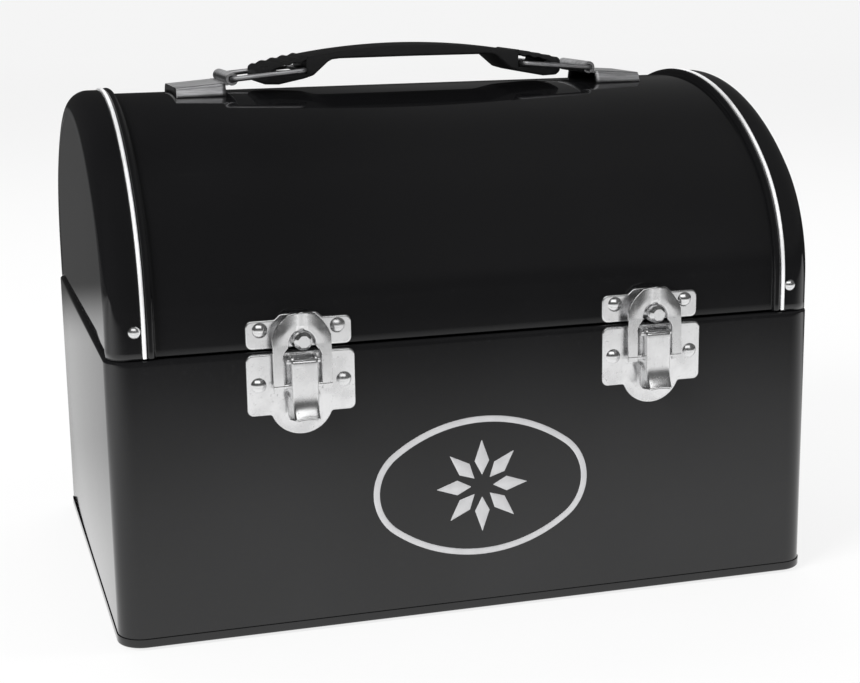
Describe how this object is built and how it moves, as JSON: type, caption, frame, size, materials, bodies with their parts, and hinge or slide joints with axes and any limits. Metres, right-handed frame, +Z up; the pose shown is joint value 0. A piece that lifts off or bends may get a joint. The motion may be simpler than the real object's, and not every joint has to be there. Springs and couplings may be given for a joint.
{
  "type": "dome-top metal lunch box",
  "caption": "Glossy black dome-top metal lunch box with a hinged lid, two over-centre draw latches with loops, bright trim wires and a moulded lift-up carrying handle.",
  "frame": {"origin": "underside of the bottom pan, at the centre of the body's outline", "axes": "+X along the width, +Y towards the hinge at the back, +Z up"},
  "size_m": [0.2558, 0.1921, 0.1933],
  "materials": {
    "black_paint": "high gloss baked enamel",
    "bright_nickel": "bright nickel plate",
    "brushed_steel": "brushed",
    "hinge_steel": "satin plated steel",
    "trim_wire": "bright",
    "grip_plastic": "semi-matte moulded",
    "badge_print": null
  },
  "bodies": {
    "base": {"body_wall": "black_paint", "bottom_pan": "black_paint", "badge_plate": "badge_print", "left_latch_base": "bright_nickel", "right_latch_base": "bright_nickel", "left_lever_pin": "bright_nickel", "right_lever_pin": "bright_nickel", "latch_base_rivets": "bright_nickel", "hinge_body_leaf": "hinge_steel", "hinge_pin": "hinge_steel", "hinge_body_rivets": "hinge_steel"},
    "lid": {"lid_dome": "black_paint", "left_end_cap": "black_paint", "right_end_cap": "black_paint", "left_trim_wire": "trim_wire", "right_trim_wire": "trim_wire", "end_cap_rivets": "bright_nickel", "left_catch_plate": "bright_nickel", "right_catch_plate": "bright_nickel", "left_catch_stud": "bright_nickel", "right_catch_stud": "bright_nickel", "catch_rivets": "bright_nickel", "hinge_lid_leaf": "hinge_steel", "hinge_lid_rivets": "hinge_steel", "left_bracket": "brushed_steel", "right_bracket": "brushed_steel"},
    "left_lever": {"left_lever": "bright_nickel", "left_loop_pin": "bright_nickel"},
    "right_lever": {"right_lever": "bright_nickel", "right_loop_pin": "bright_nickel"},
    "left_loop": {"left_loop": "bright_nickel"},
    "right_loop": {"right_loop": "bright_nickel"},
    "grip": {"grip": "grip_plastic"},
    "left_link": {"left_link": "brushed_steel"},
    "right_link": {"right_link": "brushed_steel"}
  },
  "joints": [
    {"name": "lid_hinge", "type": "hinge", "parent": "base", "child": "lid", "pos_m": [0, 0.0912, 0.0987], "axis": [-1, 0, 0], "range_deg": [0, 110]},
    {"name": "left_lever_flip", "type": "hinge", "parent": "base", "child": "left_lever", "pos_m": [-0.063, -0.0932, 0.0955], "axis": [-1, 0, 0], "range_deg": [0, 105]},
    {"name": "left_loop_swing", "type": "hinge", "parent": "left_lever", "child": "left_loop", "pos_m": [-0.063, -0.0922, 0.087], "axis": [-1, 0, 0], "range_deg": [-121, 0]},
    {"name": "right_lever_flip", "type": "hinge", "parent": "base", "child": "right_lever", "pos_m": [0.063, -0.0932, 0.0955], "axis": [-1, 0, 0], "range_deg": [0, 105]},
    {"name": "right_loop_swing", "type": "hinge", "parent": "right_lever", "child": "right_loop", "pos_m": [0.063, -0.0922, 0.087], "axis": [-1, 0, 0], "range_deg": [-121, 0]},
    {"name": "handle_lift", "type": "slide", "parent": "lid", "child": "grip", "axis": [0, 0, 1], "range_m": [0, 0.0155]},
    {"name": "left_link_swing", "type": "hinge", "parent": "lid", "child": "left_link", "pos_m": [-0.069, 0, 0.1829], "axis": [0, -1, 0], "range_deg": [0, 36.8]},
    {"name": "right_link_swing", "type": "hinge", "parent": "lid", "child": "right_link", "pos_m": [0.069, 0, 0.1829], "axis": [0, 1, 0], "range_deg": [0, 36.8]}
  ],
  "couplings": [
    {"joint": "left_loop_swing", "follows": "left_lever_flip", "ratio": -1.15},
    {"joint": "right_loop_swing", "follows": "right_lever_flip", "ratio": -1.15},
    {"joint": "left_link_swing", "follows": "handle_lift", "rad_per_m": 41.13},
    {"joint": "right_link_swing", "follows": "handle_lift", "rad_per_m": 41.13}
  ]
}
